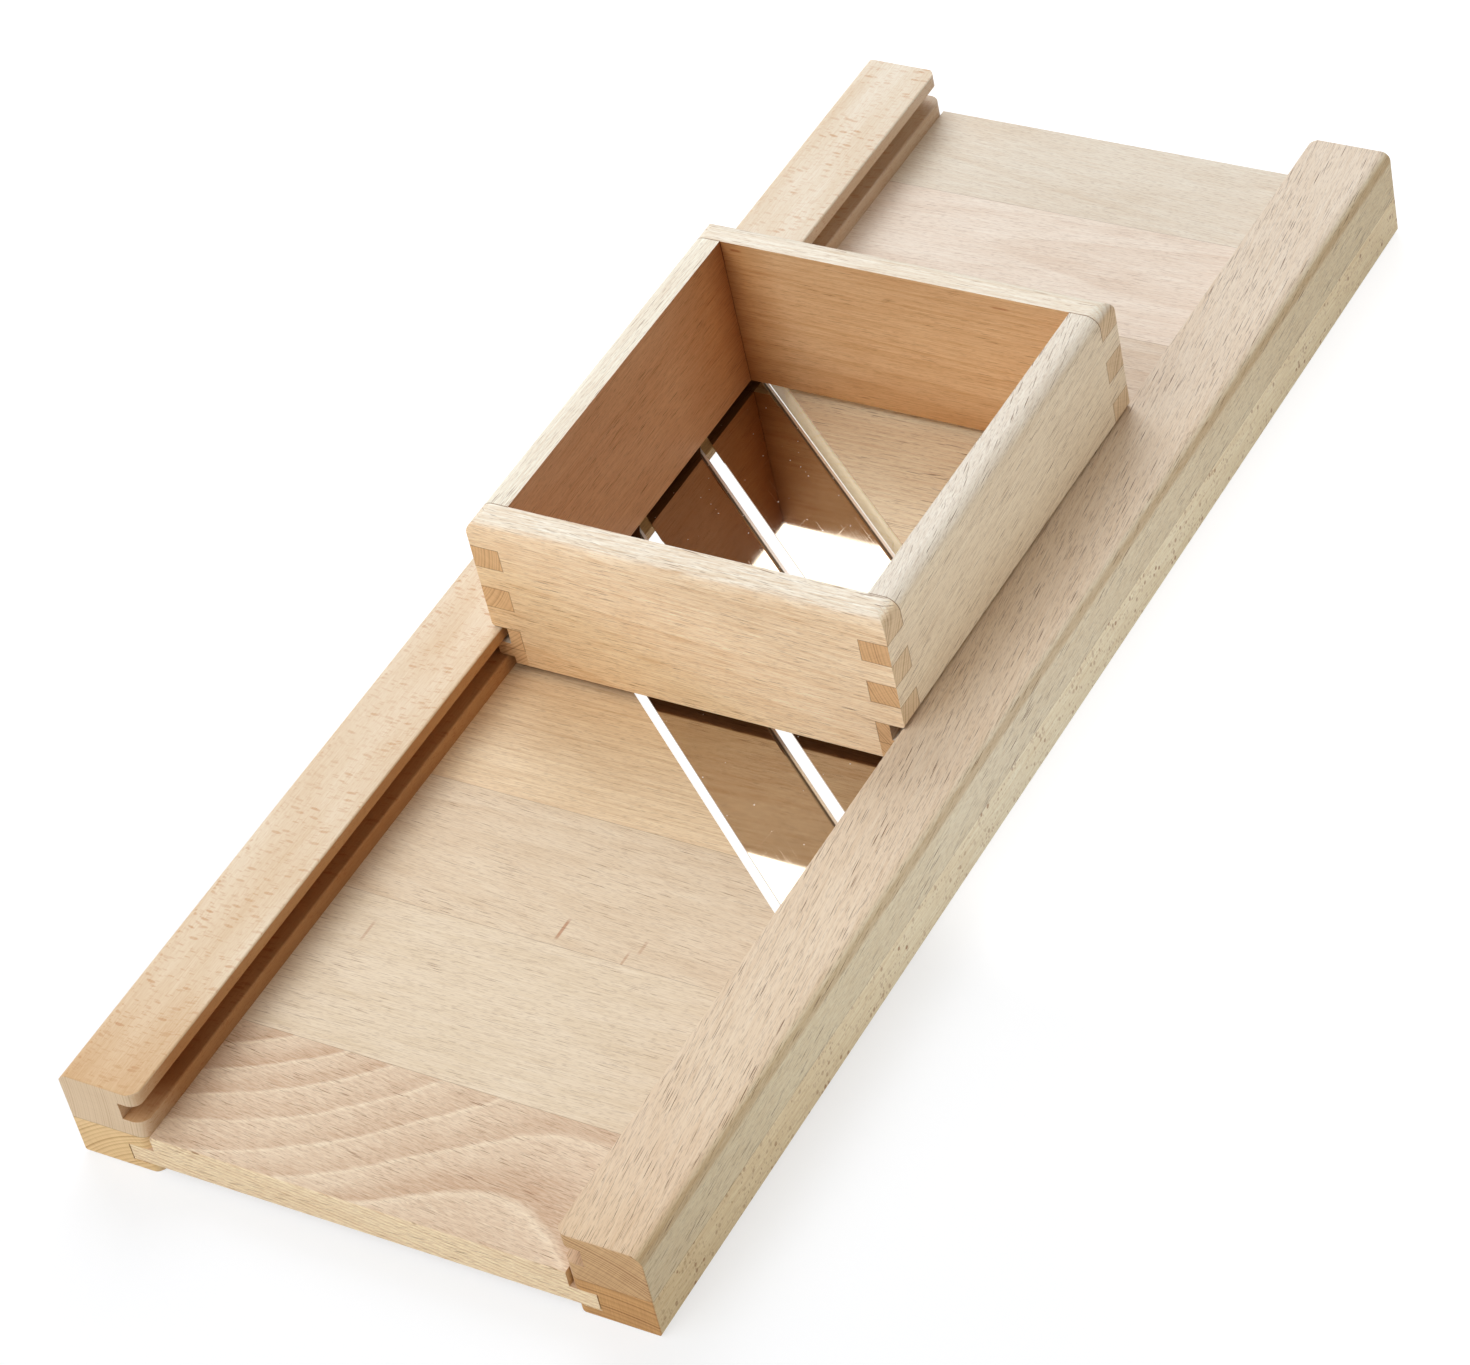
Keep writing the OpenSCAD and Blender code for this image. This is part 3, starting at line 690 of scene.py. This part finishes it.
# fine lines, haze and specks of dust on polished steel
def makeSteelMarks(shape):
    tree, given, out = newGroup(
        "steelMarks",
        [("Vector", "Vector", None), ("Scratches", "Float", 0.2), ("Haze", "Float", 0.1),
         ("Dust", "Float", 0.3)],
        [("Roughness", "Float"), ("Height", "Float"), ("Specks", "Float")])
    vector = given["Vector"]
    lines = noise(tree, sized(tree, vector, shape["lineSize"]))
    turned = addNode(tree, "ShaderNodeVectorRotate", rotation_type="Z_AXIS")
    feedAll(tree, turned, {"Vector": vector, "Angle": shape["crossTurn"]})
    cross = noise(tree, sized(tree, turned.outputs[0], shape["crossSize"]))
    scratch = calc(tree, "MAXIMUM", ramp(tree, lines, *shape["lineLimits"]),
                   ramp(tree, cross, *shape["crossLimits"]))
    haze = ramp(tree, noise(tree, sized(tree, vector, shape["hazeSize"]), 3.0), *shape["hazeLimits"])
    distance, pick = cells(tree, sized(tree, vector, shape["dustCell"]))
    reach = times(tree, pick[1], shape["dustReach"])
    speck = times(tree, ramp(tree, distance, reach, times(tree, reach, shape["dustFull"])),
                  calc(tree, "LESS_THAN", pick[0], shape["dustShare"]))
    feed(tree, out["Roughness"], summed(
        tree, times(tree, scratch, given["Scratches"]), (haze, given["Haze"]), (speck, given["Dust"])))
    feed(tree, out["Height"], calc(tree, "SUBTRACT", speck, scratch))
    feed(tree, out["Specks"], speck)
    return tree


steelMarks = makeSteelMarks(steelPattern)
bladeSteel = {
    "angle": 38.0, "pitch": 37.9, "offset": -1.9,  # degrees and millimetres, as the blades lie
    # painted reflection: the warm steel colour stands in for warm light in the blades' reflections
    "colour": (186, 169, 148), "polish": 0.04, "scratches": 0.14, "haze": 0.04, "bump": 0.06,
    "bumpDistance": 0.05, "dust": 0.5, "dustColour": (232, 226, 220),
    "dustMetal": -0.7,  # dust takes this off the metal
    "edgeAt": 16.85, "bevel": 2.8, "bevelSoft": 0.6, "flatLimits": (0.985, 0.96),
    # painted reflection: grindColour darkens the ground bevel and honeColour paints a bright line along it
    "grindColour": (104, 94, 79), "grindSize": (0.35, 9.0, 9.0), "grindRough": 0.42, "grindUneven": 0.12,
    "grindShade": (-0.3, 1.15), "honeAt": 0.2, "honeHalf": 0.9, "honeColour": (255, 252, 246),
}


def bladeMaterial(piece, place, look):
    material, tree, shader = newMaterial("steel_" + piece)
    coords = addNode(tree, "ShaderNodeTexCoord")
    slant = math.radians(look["angle"])
    centre = look["offset"] + place * look["pitch"]
    start = (centre * math.sin(slant) / perMetre, centre * math.cos(slant) / perMetre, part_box(piece)[0][2])
    along = millimetres(tree, coords, start, (0, 0, -slant))
    marks = useGroup(tree, steelMarks, {
        "Vector": along, "Scratches": look["scratches"], "Haze": look["haze"], "Dust": look["dust"]})
    outward = splitXyz(tree, along)[1]
    edge, bevel = look["edgeAt"], look["bevel"]
    ground = times(tree, ramp(tree, outward, edge - bevel, edge - bevel * look["bevelSoft"]),
                   facing(tree, coords, toTop, *look["flatLimits"], bothWays=True))
    lines = noise(tree, sized(tree, along, look["grindSize"]), 2.0)
    fade = addNode(tree, "ShaderNodeMix", data_type="FLOAT")
    feedAll(tree, fade, {0: ground, 2: calc(tree, "ADD", marks["Roughness"], look["polish"]),
                         3: calc(tree, "MULTIPLY_ADD", lines, look["grindUneven"], look["grindRough"])})
    feed(tree, shader.inputs["Roughness"], fade.outputs[0])
    # painted reflection on the ground bevel: a dark grind colour, with a white hone line as a painted
    # highlight
    shade = calc(tree, "MULTIPLY_ADD", lines, *look["grindShade"])
    hone = lineAt(tree, outward, edge - bevel * look["honeAt"], look["honeHalf"])
    paintedBevel = blendColour(tree, hone, tone(*look["grindColour"]), tone(*look["honeColour"]))
    paintedBevel = blendColour(tree, 1.0, paintedBevel, joinXyz(tree, shade, shade, shade), "MULTIPLY")
    steel = blendColour(tree, ground, tone(*look["colour"]), paintedBevel)
    dusty = blendColour(tree, marks["Specks"], steel, tone(*look["dustColour"]))
    feed(tree, shader.inputs["Base Color"], dusty)
    metal = calc(tree, "MULTIPLY_ADD", marks["Specks"], look["dustMetal"], 1.0)
    feed(tree, shader.inputs["Metallic"], metal)
    addBump(tree, shader, marks["Height"], look["bump"], look["bumpDistance"] / perMetre)
    dressPiece(piece, material)


for piece, place in (("near_blade", -1), ("middle_blade", 0), ("far_blade", 1)):
    bladeMaterial(piece, place, bladeSteel)
print("blades dressed")


bladeScrew = {  # metres, and a part of the core's length for the thread
    "Shank Width": 0.0037, "Core Width": 0.003, "Head Width": 0.0076, "Length": 0.0278,
    "Tip Radius": 0.0002, "Thread Pitch": 0.0013, "Thread Share": 0.62,
    "Slot Width": 0.0011, "Slot Depth": 0.0011, "Recess": 0.0005,
    "Side": 0.10675, "Right Place": -0.13391, "Left Place": 0.03289, "Step": 0.048096,
}
screwDetail = {
    "headSides": 48, "stemSides": 24, "turnPoints": 20, "crestSides": 4, "inRow": 3,
    "seed": 7, "mostTurn": 3.14,  # how the slots are turned
}
screwFinish = {
    "colour": (176, 178, 180), "roughness": 0.34, "scratches": 0.1, "haze": 0.2, "dust": 0.1,
    "dullShare": 0.84, "dullSize": (1.4, 1.4, 1.4), "dullLimits": (0.35, 0.8),
}


def screwMaterial(look):
    material, tree, shader = newMaterial("screw_steel")
    place = millimetres(tree, addNode(tree, "ShaderNodeTexCoord"))
    marks = useGroup(tree, steelMarks, {
        "Vector": place, "Scratches": look["scratches"], "Haze": look["haze"], "Dust": look["dust"]})
    feed(tree, shader.inputs["Roughness"], calc(tree, "ADD", marks["Roughness"], look["roughness"]))
    dull = ramp(tree, noise(tree, sized(tree, place, look["dullSize"]), 3.0), *look["dullLimits"])
    dullTone = tone(*(round(v * look["dullShare"]) for v in look["colour"]))
    feed(tree, shader.inputs["Base Color"], blendColour(tree, dull, tone(*look["colour"]), dullTone))
    shader.inputs["Metallic"].default_value = 1.0
    return material


# one row of three countersunk screws on each side: head, core, thread and point
def makeScrewTree(sizes, detail, material):
    tree = bpy.data.node_groups.new("bladeScrewRows", "GeometryNodeTree")
    for label, value in sizes.items():
        socket = tree.interface.new_socket(name=label, in_out="INPUT", socket_type="NodeSocketFloat")
        socket.default_value = value
    tree.interface.new_socket(name="Geometry", in_out="OUTPUT", socket_type="NodeSocketGeometry")
    given = addNode(tree, "NodeGroupInput").outputs
    out = addNode(tree, "NodeGroupOutput").inputs

    def half(value):
        return times(tree, value, 0.5)

    def shifted(geometry, z):
        node = addNode(tree, "GeometryNodeTransform")
        feedAll(tree, node, {"Geometry": geometry, "Translation": joinXyz(tree, 0.0, 0.0, z)})
        return node.outputs[0]

    def taper(low, high, depth, sides):
        node = addNode(tree, "GeometryNodeMeshCone")
        feedAll(tree, node, {"Vertices": sides, "Radius Bottom": low, "Radius Top": high, "Depth": depth})
        return node.outputs["Mesh"]

    core, shank, head = half(given["Core Width"]), half(given["Shank Width"]), half(given["Head Width"])
    headDepth = calc(tree, "SUBTRACT", head, core)
    tipDepth, slotDepth = given["Shank Width"], given["Slot Depth"]
    coreDepth = calc(tree, "SUBTRACT", given["Length"], tipDepth)

    # the slot's cutter is longer than the head is wide, and half of it lies below the head
    cutter = addNode(tree, "GeometryNodeMeshCube")
    feed(tree, cutter.inputs["Size"], joinXyz(
        tree, times(tree, given["Head Width"], 1.5), given["Slot Width"], times(tree, slotDepth, 2.0)))
    slotted = addNode(tree, "GeometryNodeMeshBoolean", operation="DIFFERENCE")
    feedAll(tree, slotted, {"Mesh 1": taper(head, core, headDepth, detail["headSides"]),
                            "Mesh 2": cutter.outputs["Mesh"]})
    stemDepth = calc(tree, "SUBTRACT", coreDepth, slotDepth)
    stem = shifted(taper(core, core, stemDepth, detail["stemSides"]), slotDepth)
    point = shifted(taper(core, given["Tip Radius"], tipDepth, detail["stemSides"]), coreDepth)

    threadDepth = times(tree, coreDepth, given["Thread Share"])
    spiral = addNode(tree, "GeometryNodeCurveSpiral")
    feedAll(tree, spiral, {
        "Resolution": detail["turnPoints"], "Start Radius": core, "End Radius": core, "Height": threadDepth,
        "Rotations": calc(tree, "DIVIDE", threadDepth, given["Thread Pitch"])})
    crest = addNode(tree, "GeometryNodeCurvePrimitiveCircle", mode="RADIUS")
    feedAll(tree, crest, {
        "Resolution": detail["crestSides"], "Radius": calc(tree, "SUBTRACT", shank, core)})
    thread = addNode(tree, "GeometryNodeCurveToMesh")
    feedAll(tree, thread, {
        "Curve": spiral.outputs[0], "Profile Curve": crest.outputs["Curve"], "Fill Caps": True})
    screw = addNode(tree, "GeometryNodeJoinGeometry")
    for part in (shifted(thread.outputs[0], calc(tree, "SUBTRACT", coreDepth, threadDepth)),
                 point, stem, slotted.outputs["Mesh"]):
        tree.links.new(part, screw.inputs[0])

    rows = addNode(tree, "GeometryNodeJoinGeometry")
    for side, first in ((given["Side"], given["Right Place"]),
                        (times(tree, given["Side"], -1.0), given["Left Place"])):
        line = addNode(tree, "GeometryNodeMeshLine", mode="OFFSET")
        feedAll(tree, line, {"Count": detail["inRow"], "Offset": joinXyz(tree, 0.0, given["Step"], 0.0),
                             "Start Location": joinXyz(tree, side, first, given["Recess"])})
        tree.links.new(line.outputs[0], rows.inputs[0])
    turn = addNode(tree, "FunctionNodeRandomValue", data_type="FLOAT")
    feedAll(tree, turn, {2: 0.0, 3: detail["mostTurn"], "Seed": detail["seed"]})
    placed = addNode(tree, "GeometryNodeInstanceOnPoints")
    feedAll(tree, placed, {"Points": rows.outputs[0], "Instance": screw.outputs[0],
                           "Rotation": joinXyz(tree, 0.0, 0.0, turn.outputs[1])})
    real = addNode(tree, "GeometryNodeRealizeInstances")
    feed(tree, real.inputs[0], placed.outputs[0])
    coated = addNode(tree, "GeometryNodeSetMaterial")
    feedAll(tree, coated, {"Geometry": real.outputs[0], "Material": material})
    feed(tree, out["Geometry"], coated.outputs[0])
    return tree


def plainMesh(name, tree, material):
    holder = bpy.data.objects.new(name + "_maker", bpy.data.meshes.new(name + "_maker"))
    scene.collection.objects.link(holder)
    maker = holder.modifiers.new("rows", "NODES")
    maker.node_group = tree
    for item in tree.interface.items_tree:
        if item.in_out == "INPUT":
            maker[item.identifier] = item.default_value
    bpy.context.view_layer.update()
    shape = holder.evaluated_get(bpy.context.evaluated_depsgraph_get())
    mesh = bpy.data.meshes.new_from_object(shape)
    mesh.materials.clear()
    mesh.materials.append(material)
    bpy.data.objects.remove(holder)
    made = bpy.data.objects.new(name, mesh)
    scene.collection.objects.link(made)
    return made


screwSteel = screwMaterial(screwFinish)
screws = plainMesh("blade_screw_set", makeScrewTree(bladeScrew, screwDetail, screwSteel), screwSteel)
screws.data.name = "blade_screw_set"
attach(screws, "frame")
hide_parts("blade_screws")
dressPiece("blade_screws", screwSteel)
print("screws made:", len(screws.data.polygons), "faces")


studio = {
    "worldLight": 0.28, "worldColour": (1.0, 0.86, 0.75), "floorReach": 4.0, "floorAt": -0.0003,  # metres
    "floor": 0.86, "floorCool": (0.97, 1.0, 1.04), "floorLift": 0.665, "floorTake": 0.36,
    "underReach": (95.0, 230.0), "underSoft": 10.0,  # millimetres: painted light lifts the floor to white under the board, seen through the gaps at the blades
    "sideLift": 0.84, "sideFrom": (-130.0, -75.0),  # painted light lifts the floor so that the shadow fades out along the rails
    "whiteFrom": ((240.0, 420.0), (380.0, 560.0)),  # across and along: plain white further out
    "lamps": {  # watts, width and height in metres, place, colour
        "softbox": (32.5, 1.7, 1.7, (-1.1, 1.34, 1.85), (0.96, 1.0, 1.04)),
        "frontHigh": (32.0, 2.0, 2.0, (-0.75, -1.44, 2.52), (0.96, 1.0, 1.04)),
        "frontLow": (15.0, 1.0, 0.7, (-0.39, -2.38, 0.975), (0.98, 1.0, 1.0)),
        "lowFill": (0.5, 0.3, 0.07, (0.5, -0.06, 0.05), (1.0, 0.98, 0.88)),
    },
}


# what the camera sees, straight or in steel
def rayMask(tree):
    path = addNode(tree, "ShaderNodeLightPath")
    seen = calc(tree, "MAXIMUM", path.outputs["Is Camera Ray"], path.outputs["Is Glossy Ray"])
    return calc(tree, "MAXIMUM", seen, path.outputs["Is Transmission Ray"])


def makeWorld(look):
    world = bpy.data.worlds.new("studio")
    scene.world = world
    tree = clearedTree(world)
    out = addNode(tree, "ShaderNodeOutputWorld")
    glow = addNode(tree, "ShaderNodeBackground")
    ambient = opaque(look["worldLight"] * v for v in look["worldColour"])
    feed(tree, glow.inputs["Color"], blendColour(tree, rayMask(tree), ambient, opaque((1.0, 1.0, 1.0))))
    tree.links.new(glow.outputs[0], out.inputs[0])


# matt for the light that it throws back, lifted to white for the camera, with a faint shadow
def makeFloor(look):
    mesh = bpy.data.meshes.new("floor")
    corners = ((-1, -1), (1, -1), (1, 1), (-1, 1))
    reach = look["floorReach"]
    mesh.from_pydata([(x * reach, y * reach, look["floorAt"]) for x, y in corners], [], [(0, 1, 2, 3)])
    floor = bpy.data.objects.new("floor", mesh)
    scene.collection.objects.link(floor)
    material = bpy.data.materials.new("pale_floor")
    tree = clearedTree(material)
    out = addNode(tree, "ShaderNodeOutputMaterial")
    matt = addNode(tree, "ShaderNodeBsdfDiffuse")
    matt.inputs["Color"].default_value = opaque((look["floor"],) * 3)
    seen = addNode(tree, "ShaderNodeBsdfDiffuse")
    seen.inputs["Color"].default_value = opaque(look["floorTake"] * v for v in look["floorCool"])
    lift = addNode(tree, "ShaderNodeEmission")
    x, y = splitXyz(tree, millimetres(tree, addNode(tree, "ShaderNodeTexCoord")))[:2]
    # painted light lifts the floor's shadow away along the rails
    level = ramp(tree, y, *look["sideFrom"], look["floorLift"], look["sideLift"])
    across, along = calc(tree, "ABSOLUTE", x), calc(tree, "ABSOLUTE", y)
    wide, far = (ramp(tree, value, *limits) for value, limits in zip((across, along), look["whiteFrom"]))
    # painted light: the floor under the board is lifted to white
    under = times(tree, *(ramp(tree, value, limit, limit - look["underSoft"])
                          for value, limit in zip((across, along), look["underReach"])))
    for white in (under, wide, far):
        level = calc(tree, "MAXIMUM", level, white)
    feed(tree, lift.inputs["Color"], joinXyz(tree, level, level, level))
    both = addNode(tree, "ShaderNodeAddShader")
    feedAll(tree, both, {0: seen.outputs[0], 1: lift.outputs[0]})
    choose = addNode(tree, "ShaderNodeMixShader")
    feedAll(tree, choose, {0: rayMask(tree), 1: matt.outputs[0], 2: both.outputs[0]})
    tree.links.new(choose.outputs[0], out.inputs["Surface"])
    mesh.materials.append(material)


def makeLamps(look):
    for name, (watts, width, height, place, colour) in look["lamps"].items():
        lamp = bpy.data.lights.new(name, "AREA")
        lamp.energy = watts
        lamp.color = colour
        lamp.shape = "RECTANGLE"
        lamp.size = width
        lamp.size_y = height
        holder = bpy.data.objects.new(name, lamp)
        holder.location = place
        holder.rotation_euler = (-Vector(place)).to_track_quat("-Z", "Y").to_euler()
        scene.collection.objects.link(holder)


makeWorld(studio)
makeFloor(studio)
makeLamps(studio)
print("studio ready")


photoView = {
    "lens": 119.95, "sensor": 36.0, "place": (0.830642, -1.08157, 1.216344),
    "right": (0.859821, 0.479037, -0.176724), "up": (-0.216393, 0.655368, 0.723648),
}


def makeCamera(view):
    data = bpy.data.cameras.new("photo_view")
    data.sensor_fit = "HORIZONTAL"
    data.sensor_width = view["sensor"]
    data.lens = view["lens"]
    right = Vector(view["right"]).normalized()
    back = right.cross(Vector(view["up"])).normalized()
    up = back.cross(right)
    camera = bpy.data.objects.new("photo_view", data)
    turned = Matrix((right, up, back)).transposed().to_4x4()
    camera.matrix_world = Matrix.Translation(view["place"]) @ turned
    scene.collection.objects.link(camera)
    scene.camera = camera


makeCamera(photoView)
scene.view_settings.view_transform = "Standard"
print("camera set")
